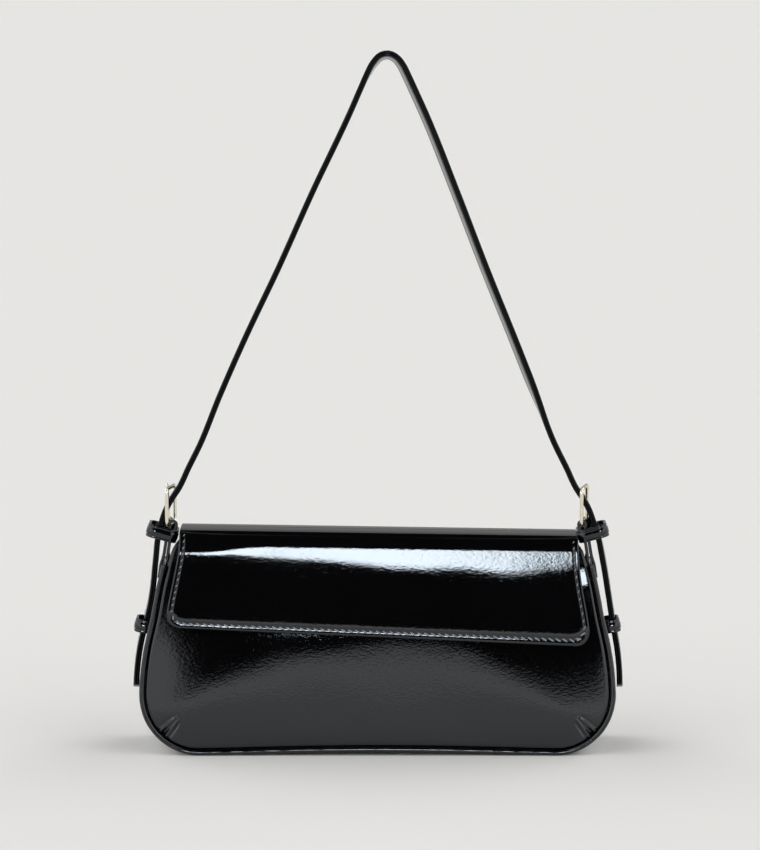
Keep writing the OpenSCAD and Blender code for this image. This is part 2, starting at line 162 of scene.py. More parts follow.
def graded(a, b, fine, coarse, ratio=1.35, border=0.0):
    """Places from a to b, close together in a border at both ends."""
    half = (b - a) / 2
    steps, at, step = [0.0], 0.0, fine
    while at + step < half:
        at += step
        steps.append(at)
        if at >= border:
            step = min(step * ratio, coarse)
    steps = np.array(steps) * half / (steps[-1] + step / 2)
    left = a + steps
    return np.r_[left, (a + b - left)[::-1]]


def resample(path, step):
    """The path's points at an even spacing of about step."""
    p = np.asarray(path, float)
    along = lengths(p)
    n = max(2, int(round(along[-1] / step)) + 1)
    t = np.linspace(0, along[-1], n)
    return np.stack([np.interp(t, along, column) for column in p.T], 1)


def circle(sides):
    """Cosines and sines of evenly spaced angles, each as a column."""
    angle = np.linspace(0, 2 * math.pi, sides, endpoint=False)
    return np.cos(angle)[:, None], np.sin(angle)[:, None]


# Meshes
def new_mesh(name, points, faces, material, shade_smooth=True):
    mesh = bpy.data.meshes.new(name)
    mesh.from_pydata((np.asarray(points, float).reshape(-1, 3) * MM).tolist(), [], faces)
    mesh.validate()
    mesh.update()
    if shade_smooth:
        mesh.shade_smooth()
    obj = bpy.data.objects.new(name, mesh)
    bpy.context.scene.collection.objects.link(obj)
    obj.data.materials.append(material)
    return obj


def grid_faces(rows, cols, close_rows=False, close_cols=False):
    """Faces over a grid of points counted row by row."""
    faces = []
    for i in range(rows if close_rows else rows - 1):
        for j in range(cols if close_cols else cols - 1):
            k, m = (i + 1) % rows, (j + 1) % cols
            faces.append((i * cols + j, i * cols + m, k * cols + m, k * cols + j))
    return faces


def thicken(obj, thick, even):
    solid = obj.modifiers.new("thickness", "SOLIDIFY")
    solid.thickness = thick * MM
    solid.offset = -1
    solid.use_even_offset = even


def subdivide(obj):
    rounding = obj.modifiers.new("rounding", "SUBSURF")
    rounding.levels = 1
    rounding.render_levels = 1


def sheet_mesh(name, grid, thick, material):
    """A sheet of even thickness from a grid of points on its outer face."""
    rows, cols = grid.shape[:2]
    obj = new_mesh(name, grid, grid_faces(rows, cols), material)
    thicken(obj, thick, even=True)
    subdivide(obj)
    return obj


def tube_mesh(name, rings, material):
    """A closed skin over a stack of rings, with a cap at each end."""
    rows, cols = rings.shape[:2]
    faces = grid_faces(rows, cols, close_cols=True)
    first_middle, last_middle = rows * cols, rows * cols + 1
    last = (rows - 1) * cols
    for j in range(cols):
        m = (j + 1) % cols
        faces.append((first_middle, m, j))
        faces.append((last_middle, last + j, last + m))
    points = np.r_[rings.reshape(-1, 3), [rings[0].mean(0), rings[-1].mean(0)]]
    return recalc(new_mesh(name, points, faces, material))


def path_sides(path, side_hint, closed):
    """Side and up directions along a path, the side kept near side_hint."""
    if closed:
        tangent = np.roll(path, -1, 0) - np.roll(path, 1, 0)
    else:
        tangent = np.gradient(path, axis=0)
    tangent /= np.linalg.norm(tangent, axis=1, keepdims=True)
    hint = np.broadcast_to(np.asarray(side_hint, float), path.shape)
    side = hint - (hint * tangent).sum(1, keepdims=True) * tangent
    side /= np.linalg.norm(side, axis=1, keepdims=True)
    return side, np.cross(tangent, side)


def sweep(path, section, side_hint, closed=False, twist=None):
    """Rings of a section, given as (side, up) pairs, along a path."""
    side, up = path_sides(path, side_hint, closed)
    if twist is not None:
        c, s = np.cos(twist)[:, None], np.sin(twist)[:, None]
        side, up = side * c + up * s, up * c - side * s
    return (
        path[:, None]
        + side[:, None] * section[None, :, :1]
        + up[:, None] * section[None, :, 1:]
    )


def recalc(obj):
    """Turns the faces of a closed mesh outwards."""
    mesh = bmesh.new()
    mesh.from_mesh(obj.data)
    bmesh.ops.recalc_face_normals(mesh, faces=mesh.faces)
    mesh.to_mesh(obj.data)
    mesh.free()
    return obj


def join_meshes(name, parts, material):
    """One object from several closed parts, each as (points, faces)."""
    points, faces, start = [], [], 0
    for part_points, part_faces in parts:
        points.append(part_points)
        faces += [tuple(start + k for k in face) for face in part_faces]
        start += len(part_points)
    return recalc(new_mesh(name, np.concatenate(points), faces, material))


def apply_modifiers(obj):
    graph = bpy.context.evaluated_depsgraph_get()
    mesh = bpy.data.meshes.new_from_object(obj.evaluated_get(graph))
    obj.modifiers.clear()
    obj.data = mesh


def rigid(obj, body, node):
    """Lets a piece ride one body, in the place of its CAD node."""
    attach(obj, body)
    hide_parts(node)


# Materials
def node_material(name):
    mat = bpy.data.materials.new(name)
    mat.use_nodes = True
    tree = mat.node_tree
    tree.nodes.clear()
    out = tree.nodes.new("ShaderNodeOutputMaterial")
    shader = tree.nodes.new("ShaderNodeBsdfPrincipled")
    tree.links.new(shader.outputs[0], out.inputs[0])
    return mat, tree, shader


def set_inputs(node, values):
    for name, value in values.items():
        node.inputs[name].default_value = value


def position(tree):
    return tree.nodes.new("ShaderNodeTexCoord").outputs["Object"]


def noise(tree, where, scale, detail, rough=0.5):
    node = tree.nodes.new("ShaderNodeTexNoise")
    set_inputs(node, {"Scale": scale, "Detail": detail, "Roughness": rough})
    tree.links.new(where, node.inputs["Vector"])
    return node.outputs[0]


def ramp(tree, value, stops, socket):
    """Sets a socket from a value, by (place, colour) stops."""
    node = tree.nodes.new("ShaderNodeValToRGB")
    tree.links.new(value, node.inputs[0])
    elements = node.color_ramp.elements
    while len(elements) < len(stops):
        elements.new(0.5)
    for element, (at, color) in zip(elements, stops):
        element.position = at
        element.color = (*color, 1)
    tree.links.new(node.outputs[0], socket)


def scaled(color, share):
    return tuple(c * share for c in color)


def add_bump(tree, shader, layers):
    """Stacks bump layers, given as (height, strength, distance in metres)."""
    last = None
    for height, strength, distance in layers:
        bump = tree.nodes.new("ShaderNodeBump")
        set_inputs(bump, {"Strength": strength, "Distance": distance})
        tree.links.new(height, bump.inputs["Height"])
        if last is not None:
            tree.links.new(last, bump.inputs["Normal"])
        last = bump.outputs[0]
    tree.links.new(last, shader.inputs["Normal"])


# Patent leather: how its crinkle is stretched and turned, and the colour of its reflections
CRINKLE_SCALE = (1.0, 1.0, 1.9)
CRINKLE_TURN = (0.0, math.radians(28), 0.0)
GLOSS_TINT = (0.9, 0.95, 1.0, 1)
WEAVE_SCALE = 2600.0 / 6


def patent(name, color, grain=1.0, gloss=0.014, specular=0.64):
    """Patent leather: a clear, hard gloss over fine crinkles that run mostly one way."""
    mat, tree, shader = node_material(name)
    where = position(tree)
    stretch = tree.nodes.new("ShaderNodeMapping")
    set_inputs(stretch, {"Scale": CRINKLE_SCALE, "Rotation": CRINKLE_TURN})
    tree.links.new(where, stretch.inputs["Vector"])
    crinkle = noise(tree, stretch.outputs[0], 420.0, 4.0, 0.55)
    pebble = noise(tree, where, 1500.0, 2.0)
    wave = noise(tree, where, 60.0, 2.0)
    tint = noise(tree, where, 35.0, 3.0)
    tones = [(0.3, scaled(color, 0.7)), (0.7, color)]
    ramp(tree, tint, tones, shader.inputs["Base Color"])
    shine = [(0.35, (gloss,) * 3), (0.75, (gloss * 1.8,) * 3)]
    ramp(tree, wave, shine, shader.inputs["Roughness"])
    gloss_inputs = {"IOR": 1.5, "Specular IOR Level": specular, "Specular Tint": GLOSS_TINT}
    set_inputs(shader, gloss_inputs)
    layers = [
        (wave, 0.10 * grain, 0.0004),
        (crinkle, 0.115 * grain, 0.0003),
        (pebble, 0.012 * grain, 0.0001),
    ]
    add_bump(tree, shader, layers)
    return mat


def woven(name, color):
    """Plain woven lining cloth."""
    mat, tree, shader = node_material(name)
    where = position(tree)
    weave = tree.nodes.new("ShaderNodeMath")
    weave.operation = "MULTIPLY"
    for direction, socket in zip(("X", "Z"), weave.inputs):
        wave = tree.nodes.new("ShaderNodeTexWave")
        wave.bands_direction = direction
        set_inputs(wave, {"Scale": WEAVE_SCALE, "Distortion": 0.4})
        tree.links.new(where, wave.inputs["Vector"])
        tree.links.new(wave.outputs["Fac"], socket)
    patches = noise(tree, where, 45.0, 4.0)
    mix = tree.nodes.new("ShaderNodeMath")
    mix.operation = "MULTIPLY_ADD"
    mix.inputs[1].default_value = 0.5
    tree.links.new(weave.outputs[0], mix.inputs[0])
    tree.links.new(patches, mix.inputs[2])
    tones = [(0.3, color), (0.95, scaled(color, 1.7))]
    ramp(tree, mix.outputs[0], tones, shader.inputs["Base Color"])
    set_inputs(shader, {"Roughness": 0.72, "Sheen Weight": 0.25})
    add_bump(tree, shader, [(weave.outputs[0], 0.35, 0.00015)])
    return mat


def plated(name, color, rough):
    """Plated metal with faint polishing marks and a little handling haze."""
    mat, tree, shader = node_material(name)
    where = position(tree)
    haze = noise(tree, where, 260.0, 4.0)
    marks = noise(tree, where, 2200.0, 2.0)
    set_inputs(shader, {"Metallic": 1.0})
    tones = [(0.35, color), (0.8, scaled(color, 0.9))]
    ramp(tree, haze, tones, shader.inputs["Base Color"])
    shine = [(0.3, (rough,) * 3), (0.8, (rough * 2.2,) * 3)]
    ramp(tree, haze, shine, shader.inputs["Roughness"])
    add_bump(tree, shader, [(marks, 0.05, 0.00005)])
    return mat


def fibre(name, color):
    """Pressed fibreboard."""
    mat, tree, shader = node_material(name)
    grain = noise(tree, position(tree), 900.0, 5.0, 0.7)
    tones = [(0.35, scaled(color, 0.6)), (0.7, color)]
    ramp(tree, grain, tones, shader.inputs["Base Color"])
    set_inputs(shader, {"Roughness": 0.85})
    add_bump(tree, shader, [(grain, 0.3, 0.0002)])
    return mat


BLACK = (0.0022, 0.0022, 0.0027)
PATENT = patent("patent_black", BLACK)
STRAP_PATENT = patent("strap_patent", BLACK, grain=0.6, gloss=0.03)
EDGE_PAINT = patent("edge_paint", (0.0015, 0.0015, 0.002), grain=0.4, gloss=0.1, specular=0.14)
PANEL_PATENT = patent("patent_panel", BLACK, grain=1.5, gloss=0.009)
PIPING = patent("piping_patent", BLACK, grain=1.5, gloss=0.03)
# The stitch thread's grey colour is a painted highlight: the thread is black, and the grey stands in for
# the glints along its rounded top.
THREAD_PAINTED_GLINT = patent("black_thread_painted_glint", (0.26, 0.28, 0.31), grain=0.2, gloss=0.12)
LINING = woven("lining_cloth", (0.018, 0.018, 0.021))
BOARD = fibre("fibreboard", (0.15, 0.13, 0.11))
GOLD = plated("pale_gold", (0.86, 0.80, 0.66), 0.09)
SNAP = plated("snap_plate", (0.62, 0.61, 0.58), 0.25)


# The two faces and the two ends of the bag, with the sign of their side
FACES = (("front", -1), ("back", 1))
ENDS = (("left", -1), ("right", 1))


# Body form
def on_panel(x, u, n, side):
    """World place of a point at (x, u) on the front (side -1) or back panel, n outwards."""
    x, u, n = np.broadcast_arrays(*(np.asarray(v, float) for v in (x, u, n)))
    y = FOOT_Y - u * math.sin(LEAN) + n * math.cos(LEAN)
    z = PIPING_R + u * math.cos(LEAN) + n * math.sin(LEAN)
    return np.stack([x, side * y, z], -1)


def side_bow(x, z):
    """How far the soft sides stand out at a place."""
    return curve_value(z, SIDE_BOW) * smooth(np.abs(x), *BOW_X)


def settle(p):
    """The slack of the soft body: bowed sides, an arched base and a skewed top."""
    x, y, z = p[..., 0], p[..., 1], p[..., 2]
    arch = BASE_ARCH * np.clip(1 - (x / ARCH_HALF_W) ** 2, 0, 1) ** 1.5 * (1 - smooth(z, *ARCH_Z))
    fade = 1 - smooth(np.abs(x), *SKEW_FADE_X)
    skew = TOP_SKEW * np.clip(x, -SKEW_LIMIT_X, SKEW_LIMIT_X) * smooth(z, *SKEW_Z) * fade
    return np.stack([x + np.sign(x) * side_bow(x, z), y, z + arch - skew], -1)


def taper_x(u, r):
    """Where the leaning side is at height u, over a corner of radius r."""
    return CORNER_X + r / math.cos(SIDE_TAPER) - (u - SEAM_R) * math.tan(SIDE_TAPER)


def half_width(u, inset):
    """Half the width of the panel's outline at height u, inset from the seam line."""
    r = SEAM_R - inset
    u = np.asarray(u, float)
    corner = CORNER_X + np.sqrt(np.clip(r**2 - (SEAM_R - u) ** 2, 0, None))
    low = u < SEAM_R + r * math.sin(SIDE_TAPER)
    turn = SHOULDER_U + SHOULDER_R * math.sin(SIDE_TAPER)
    reach = np.sqrt(np.clip(SHOULDER_R**2 - (u - SHOULDER_U) ** 2, 0, None))
    top = taper_x(SHOULDER_U, r - SHOULDER_R) + reach
    return np.where(low, corner, np.where(u > turn, top, taper_x(u, r)))


# Height at which each panel stands out most, across its width
FRONT_PEAK = [
    (-140, 24), (-112, 33), (-80, 48), (-40, 58), (20, 63), (55, 60), (85, 44),
    (112, 28), (140, 22),
]
BACK_PEAK = [(-140, 26), (-90, 44), (0, 56), (90, 44), (140, 26)]
RIPPLE = 0.07

# Both panels lie back at their top corners, so that the buckles swing past
TOP_RELIEF = 1.1
RELIEF_X = (98, 110)
RELIEF_U = (98, 112)

# The front panel lies flatter and further back under the flap, with a flat seat for the snap
COVERED_X = (88, 108)
COVERED_FLAT, FLAT_U = 0.8, (75, 98)
COVERED_BACK, BACK_U = 2.6, (88, PANEL_TOP)
SEAT_R = 8.2
SNAP_U = (SNAP_Z - PIPING_R) / math.cos(LEAN)


def crown(x, u, side):
    """How far the soft panel stands out from its plain plane."""
    peak = curve_value(x, FRONT_PEAK if side < 0 else BACK_PEAK)
    width = half_width(np.clip(u, 1, SHOULDER_U), 0)
    across = np.clip(1 - np.abs(x / (width + 0.5)) ** 5, 0, 1)
    rise = np.sin(np.clip(u / peak, 0, 1) * math.pi / 2) ** 0.9
    fall = 0.5 + 0.5 * np.cos(np.clip((u - peak) / (PANEL_TOP - peak), 0, 1) * math.pi)
    bulge = CROWN * across * np.where(u < peak, rise, fall)
    bulge = bulge - TOP_RELIEF * smooth(np.abs(x), *RELIEF_X) * smooth(u, *RELIEF_U)
    if side < 0:
        covered = 1 - smooth(np.abs(x), *COVERED_X)
        bulge = bulge * (1 - COVERED_FLAT * covered * smooth(u, *FLAT_U))
        bulge = bulge - COVERED_BACK * covered * smooth(u, *BACK_U)
        bulge = bulge * (1 - hump(np.hypot(x, u - SNAP_U), SEAT_R, 8))
    ripple = RIPPLE * np.sin(x / 17.0 + 0.8) * np.sin(u / 11.0 + x / 41.0)
    return bulge + ripple * np.clip(across * 3, 0, 1) * smooth(u, 3, 14)


# Corner dart: its length, how far its folds lie apart, and how deep or proud each part is
DART_R = 16.2
DART_OPEN = 4.3
DART_TUCK, TUCK_W = 2.2, 1.2
DART_LIP, LIP_W, LIP_SHARE = 1.0, 1.0, 0.52
DART_RIM, RIM_W = 0.75, 0.65


def dart(x, u):
    """The short sewn darts that cup the lower corners."""
    cx, cy = np.abs(x) - CORNER_X, u - SEAM_R
    along = (cx - cy) / math.sqrt(2)
    off = (cx + cy) / math.sqrt(2)
    start = SEAM_R - DART_R
    open_to = DART_OPEN * np.clip((along - start) / DART_R, 0, 1) ** 0.3
    reach = smooth(along, start - 0.5, start + 1.5)
    tuck = -DART_TUCK * smooth(along, start + 5, SEAM_R - 1) * hump(off, TUCK_W)
    lips = DART_LIP * hump(np.abs(off) - open_to * LIP_SHARE, LIP_W)
    rims = -DART_RIM * hump(np.abs(off) - open_to, RIM_W)
    return reach * (tuck + lips + rims)


ROLL_DEPTH, ROLL_W = 1.7, 2.6


def edge_roll(d):
    """The panel's turn into the piping's seam, at distance d from its edge."""
    t = np.clip(d / ROLL_W, 0, 1)
    return -ROLL_DEPTH * (1 - np.sqrt(np.clip(1 - (1 - t) ** 2, 0, 1)))


def edge_distance(x, u, inset):
    """Distance from the panel's edge at the sides, corners and bottom."""
    r = SEAM_R - inset
    ax = np.abs(x)
    side = (CORNER_X - ax) * math.cos(SIDE_TAPER) + r - (u - SEAM_R) * math.sin(SIDE_TAPER)
    corner = r - np.hypot(ax - CORNER_X, u - SEAM_R)
    bottom = u - inset
    in_corner = (ax > CORNER_X) & (u < SEAM_R + (ax - CORNER_X) * math.tan(SIDE_TAPER))
    return np.where(in_corner, corner, np.minimum(side, bottom))


PANEL_INSET = PIPING_R + SEAM_GAP
DART_ZONE_U = 26.0
FINE_STEP, COARSE_STEP = 0.55, 2.4


def panel_grid(side):
    """Points of a panel's outer face, closest at the darts and edges."""
    upper = graded(DART_ZONE_U, PANEL_TOP, 0.5, COARSE_STEP)[1:]
    rows = np.r_[np.arange(PANEL_INSET, DART_ZONE_U, FINE_STEP), upper]
    half = BODY_W / 2
    cols = graded(-1.0, 1.0, FINE_STEP / half, COARSE_STEP / half, border=0.19)
    x = half_width(rows, PANEL_INSET)[:, None] * cols[None]
    u = np.broadcast_to(rows[:, None], x.shape)
    d = np.clip(edge_distance(x, u, PANEL_INSET), 0, None)
    n = crown(x, u, side) + edge_roll(d) + dart(x, u)
    return settle(on_panel(x, u, n, side))


def outward(grid, side):
    """The grid in the order that makes its faces look outwards."""
    return grid[:, ::-1] if side > 0 else grid


def panel(word, side):
    grid = outward(panel_grid(side), side)
    obj = sheet_mesh(f"{word}_panel_skin", grid, PANEL_T, PANEL_PATENT)
    rigid(obj, "bag", f"{word}_panel")


# Seam line: up one side, round the corners and along the base
def seam_line(step):
    """The seam's line as (x, u) points, from the left shoulder round to the right one."""
    arc = np.linspace(0, math.pi / 2 + SIDE_TAPER, 40)
    corner = np.stack([CORNER_X + SEAM_R * np.sin(arc), SEAM_R - SEAM_R * np.cos(arc)], 1)
    right = np.r_[[[0.0, 0.0]], corner, [[taper_x(SHOULDER_U, SEAM_R), SHOULDER_U]]]
    left = right[::-1] * [-1, 1]
    return resample(np.r_[left[:-1], right], step)


WELT_R = PIPING_R * 1.04
WELT_SIDES = 14
WELT_SWELL = 0.035


def piping(word, side):
    line = seam_line(2.0)
    path = settle(on_panel(line[:, 0], line[:, 1], 0.0, side))
    along = np.arange(len(path))
    swell = 1 + WELT_SWELL * np.sin(along * 0.9) * np.sin(along * 0.23)
    rings = sweep(path, WELT_R * np.hstack(circle(WELT_SIDES)), (0, side, 0))
    rings = path[:, None] + (rings - path[:, None]) * swell[:, None, None]
    obj = tube_mesh(f"{word}_welt", rings, PIPING)
    subdivide(obj)
    rigid(obj, "bag", f"{word}_piping")


# Gusset: how deep it sinks in its middle, at the base and at each seam, and where it is held
GUSSET_SINK = 1.6
BASE_SINK = 0.25
EDGE_SINK, EDGE_SHARE = 0.7, 0.12
HELD_Z, BASE_U = (84, 104), (0, 12)
GUSSET_DEPTH = 0.15


def gusset_grid(depth, inset=0.0, trim=0.0):
    """Points of the strip between the two seams, depth inwards from its outer face."""
    line = seam_line(2.5)
    line = line[line[:, 1] <= SHOULDER_U - trim]
    tangent = np.gradient(line, axis=0)
    tangent /= np.linalg.norm(tangent, axis=1, keepdims=True)
    inward = np.stack([-tangent[:, 1], tangent[:, 0]], 1)
    outer = line - inward * PIPING_R
    across = graded(-1.0, 1.0, 0.02, 0.12)
    span = FOOT_Y - line[:, 1] * math.sin(LEAN) - 0.6 - inset
    x_line, z_line = outer[:, 0], PIPING_R + outer[:, 1] * math.cos(LEAN)
    flat_base = 1 - smooth(line[:, 1], *BASE_U)
    free = 1 - smooth(z_line, *HELD_Z)
    sink = (1 - flat_base) * (side_bow(x_line, z_line) + GUSSET_SINK) * free
    sink = sink + flat_base * BASE_SINK
    inwards = depth + sink[:, None] * (1 - across**2)[None]
    at_edge = np.clip((1 - np.abs(across)) / EDGE_SHARE, 0, 1) ** 0.5
    inwards += EDGE_SINK * (1 - at_edge)[None]
    x = x_line[:, None] + inward[:, :1] * inwards
    z = z_line[:, None] + (inward[:, 1] * math.cos(LEAN))[:, None] * inwards
    y = across[None] * span[:, None]
    return settle(np.stack([x, y, z], -1))


def gusset():
    obj = sheet_mesh("gusset_skin", gusset_grid(GUSSET_DEPTH), PANEL_T, PATENT)
    rigid(obj, "bag", "gusset")


# Inside: linings, the facings round the mouth, the pocket and the base board
LINING_INSET, LINING_BACK, LINING_T = 5.2, PANEL_T + 0.1, 0.6
LINING_SPAN = (5.0, PANEL_TOP - 10)
FACING_INSET, FACING_T = 5.0, 0.9
FACING_SPAN = (PANEL_TOP - 20, PANEL_TOP - 0.4)
POCKET_BACK, POCKET_T, POCKET_W = PANEL_T + 0.85, 1.0, 150
POCKET_SPAN = (24.0, 86.0)
GUSSET_LINING_T = 0.5
BOARD_HALF_W, BOARD_HALF_D, BOARD_Z, BOARD_T = 104.0, 25.5, 4.5, 1.4


def layer(name, side, inset, span, back, thick, material, width=None):
    """A sheet that follows a panel, back by a depth or by a function of the height."""
    rows = graded(*span, 1.0, 5.0)
    cols = graded(-1.0, 1.0, 0.006, 0.05)
    half = half_width(rows, inset) if width is None else np.full(len(rows), width / 2)
    x = half[:, None] * cols[None]
    u = np.broadcast_to(rows[:, None], x.shape)
    depth = back(u) if callable(back) else back
    grid = settle(on_panel(x, u, crown(x, u, side) - depth, side))
    return sheet_mesh(name, outward(grid, side), thick, material)


def facing_depth(u):
    """The facing lies behind the lining, but close to the panel at the mouth."""
    return PANEL_T + 0.05 + 0.85 * smooth(PANEL_TOP - u, 2, 9)


def make_inside():
    for word, side in FACES:
        obj = layer(f"{word}_lining_cloth", side, LINING_INSET, LINING_SPAN, LINING_BACK, LINING_T, LINING)
        rigid(obj, "bag", f"{word}_lining")
        obj = layer(f"{word}_facing_skin", side, FACING_INSET, FACING_SPAN, facing_depth, FACING_T, PATENT)
        rigid(obj, "bag", f"{word}_facing")
    obj = layer("slip_pocket_cloth", 1, LINING_INSET, POCKET_SPAN, POCKET_BACK, POCKET_T, LINING, POCKET_W)
    rigid(obj, "bag", "slip_pocket")
    grid = gusset_grid(depth=PANEL_T + 0.35, inset=2.6, trim=6)
    obj = sheet_mesh("gusset_lining_cloth", grid, GUSSET_LINING_T, LINING)
    rigid(obj, "bag", "gusset_lining")
    rigid(board_sheet(), "bag", "base_board")


def board_sheet():
    """The base board, lying on the lining and bent with the base."""
    x = graded(-BOARD_HALF_W, BOARD_HALF_W, 1.0, 8.0)
    y = graded(-BOARD_HALF_D, BOARD_HALF_D, 1.0, 8.0)
    gx, gy = np.meshgrid(x, y)
    grid = settle(np.stack([gx, gy, np.full(gx.shape, BOARD_Z)], -1))
    return sheet_mesh("base_board_sheet", grid, BOARD_T, BOARD)


# Flap: (distance, elevation of its face in degrees), from the yoke over the top to the front
FLAP_TURN = [
    (-24, 171.6), (-4.8, 171.6), (-3.6, 158), (-1.8, 122), (-0.4, 98), (1.5, 92.5), (8, 90),
    (17, 86.5), (22, 82), (24.5, 74), (27, 58), (30, 38), (32.6, 24),
]
# How long the strip that mirrors the softbox is, across the flap
STREAK_LEN = [
    (-126, 0.2), (-108, 0.2), (-100, 1.2), (-88, 2.6), (-75, 5.2), (-44, 7.2), (-12, 10),
    (3, 12), (22, 13.2), (50, 12.2), (82, 14.4), (104, 12), (116, 10.5), (126, 7),
]
STREAK_LAG, LAG_X = 4.2, (-112, -66)
FLAP_HALF = [
    (-24, 117.5), (0, 118.1), (24, 118.7), (40, 119.3), (56, 121.7), (72, 124.7), (88, 127.0),
]
FLAP_COLUMN_W = 120.0
FLAP_SLANT, SLANT_X = 3.5, 118
FLAP_STEP = 0.25
FLAP_SPARE = 6
FLAP_TUCK, TUCK_S = 1.2, (8, 30)
TURN_WINDOW = 9
YOKE_CORNER_R = 4
FLAP_WAVE = 0.035
HANGING_S, SHIFTED_S = (22, 40), (30, 60)


def flap_face(x):
    """Along the flap in one column at x: distance, y, z and the elevation of the face."""
    end = FLAP_END + FLAP_SLANT * np.clip(x / SLANT_X, -1, 1)
    turned = FLAP_FOLD_END + STREAK_LAG * (1 - float(smooth(x, *LAG_X)))
    flat = turned + float(curve_value(x, STREAK_LEN))
    turn = FLAP_TURN + [
        (turned - 1.6, 21),
        (turned, 16.6),
        (flat, 11.7),
        (flat + 2, 10.9),
        (flat + 12, 10.2),
        (FLAP_END + 6, 9.3),
    ]
    at, angle = np.array(turn, float).T
    start = YOKE_END - FLAP_SPARE
    s = np.arange(start, end + 8, FLAP_STEP)
    kernel = np.hanning(TURN_WINDOW)
    padded = np.pad(np.interp(s, at, angle), TURN_WINDOW // 2, mode="edge")
    theta = np.radians(np.convolve(padded, kernel / kernel.sum(), mode="valid"))
    y = np.cumsum(-np.sin(theta) * FLAP_STEP) + FLAP_TUCK * smooth(s, *TUCK_S)
    z = np.cumsum(-np.cos(theta) * FLAP_STEP)
    zero = int(round(-start / FLAP_STEP))
    return s, y - y[zero] + FLAP_TOP_Y, z - z[zero] + FLAP_TOP_Z, theta


def flap_half(r):
    """Half the flap's width at nominal distance r, with its round corners."""
    free = np.clip(r - (FLAP_END - FLAP_CORNER_R), 0, FLAP_CORNER_R)
    sewn = np.clip(YOKE_END + YOKE_CORNER_R - r, 0, YOKE_CORNER_R)
    half = curve_value(r, FLAP_HALF) - round_off(free, FLAP_CORNER_R)
    return half - round_off(sewn, YOKE_CORNER_R)


def flap_edge_distance(x, r):
    """Distance from the flap's edge at its sides, its round corners and its end."""
    border = FLAP_END - FLAP_CORNER_R
    in_corner = (r > border) & (np.abs(x) > flap_half(border) - FLAP_CORNER_R)
    corner = FLAP_CORNER_R - np.hypot(r - border, np.abs(x) - flap_half(border) + FLAP_CORNER_R)
    side = flap_half(np.minimum(r, border)) - np.abs(x)
    return np.where(in_corner, corner, np.minimum(side, FLAP_END - r))


# Stitched border: the thread's groove, the pull beside it at the bottom, and the turned edge
GROOVE, GROOVE_W = 0.2, 0.5
PULL, PULL_W = 0.3, 2.0
EDGE_TURN, EDGE_TURN_W = 0.5, 0.8
BORDER_BELOW = (FLAP_END - 12, FLAP_END - 5)


def sewn_edge(d, below):
    """The flap's border: a turned edge round a sunk row of stitches."""
    groove = -GROOVE * (1 - 0.6 * below) * hump(d - STITCH_INSET, GROOVE_W)
    pull = -PULL * below * hump(np.clip(d - STITCH_INSET, 0, None), PULL_W)
    return groove + pull - EDGE_TURN * (1 - smooth(d, 0, EDGE_TURN_W))


# The lining's dip to the snap's stud
SNAP_DIMPLE, DIMPLE_R = 2.4, 9.5


def flap_points(r, c, out=0.0, pinch=0.0):
    """Points on the flap at nominal distances r and shares c of the half width."""
    r, c = np.broadcast_arrays(np.asarray(r, float), np.asarray(c, float))
    x = c * (flap_half(r) - pinch)
    y, z, theta = np.empty(x.shape), np.empty(x.shape), np.empty(x.shape)
    for value in np.unique(np.round(c, 6)):
        here = np.isclose(c, value, atol=1e-6)
        column_x = value * FLAP_COLUMN_W
        s, *profile = flap_face(column_x)
        end = FLAP_END + FLAP_SLANT * column_x / SLANT_X
        stretch = (end - FLAP_FOLD_END) / (FLAP_END - FLAP_FOLD_END)
        at = r[here]
        at = np.where(at > FLAP_FOLD_END, FLAP_FOLD_END + (at - FLAP_FOLD_END) * stretch, at)
        for values, column in zip((y, z, theta), profile):
            values[here] = np.interp(at, s, column)
    down = smooth(r, *HANGING_S)
    border = sewn_edge(flap_edge_distance(x, r), smooth(r, *BORDER_BELOW))
    wave = FLAP_WAVE * np.sin(x / 23 + 1.0) * np.sin(r / 15.0)
    n = out + wave * down + border * down
    x = x + FLAP_SHIFT * (1 - 0.6 * smooth(r, *SHIFTED_S))
    if out < -1.5:
        n = n - SNAP_DIMPLE * hump(np.hypot(x, z - TOP_SKEW * x - SNAP_Z - 1), DIMPLE_R, 4)
    return np.stack([x, y - np.cos(theta) * n, z + np.sin(theta) * n - TOP_SKEW * x], -1)


FOLD_U, BAND_START, BAND_STEP = -6.0, 22.0, 0.9
BAND_END = 76.0


def flap_rows(low, high):
    """Distances of the rows, closest at the folds and the border."""
    if low < 0:
        yoke = graded(low, FOLD_U, 0.35, 3.0)[:-1] if low < FOLD_U else []
        fold = np.arange(max(low, FOLD_U), 2.0, 0.4)
        return np.r_[yoke, fold, graded(2.0, high, 0.4, 2.0)]
    top = graded(low, BAND_START, 0.4, 2.0)[:-1]
    band = np.arange(BAND_START, BAND_END, BAND_STEP)
    return np.r_[top, band, graded(BAND_END, high, 0.4, 0.5)[1:]]


FLAP_COLS = graded(-1.0, 1.0, 0.0032, 0.02, border=0.05)
REAR_FOLD = (("bag", "flap_top"), ((0, 14.4, 127.0), (0, 7.5, 131.3)))
FRONT_FOLD = (("flap_top", "flap_front"), ((0, -7.0, 130.6), (0, -18.2, 120.5)))


def flap_sheet(name, span, out, thick, material, pinch=0.0):
    rows = flap_rows(*span)
    grid = flap_points(rows[:, None], FLAP_COLS[None], out, pinch)[:, ::-1]
    return sheet_mesh(name, grid, thick, material)


def blend(obj, bodies, places):
    """Bakes the piece's place into its mesh; the piece is not bent, and the bodies and places are not
    used.
    """
    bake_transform(obj)


def bend(obj, bodies, places, slot, *nodes):
    """Bakes a piece's place into its mesh and hides its CAD nodes, so that it stands in their place; it is
    not bent.
    """
    blend(obj, bodies, places)
    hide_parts(*nodes)


# One stitch: (share of its length, share of its radius, how far it is sunk)
STITCH_FORM = (
    (0, 0.45, 0.35), (0.12, 0.85, 0.08), (0.5, 1.0, 0.0), (0.88, 0.85, 0.08), (1, 0.45, 0.35),
)
STITCH_SIDES = 8


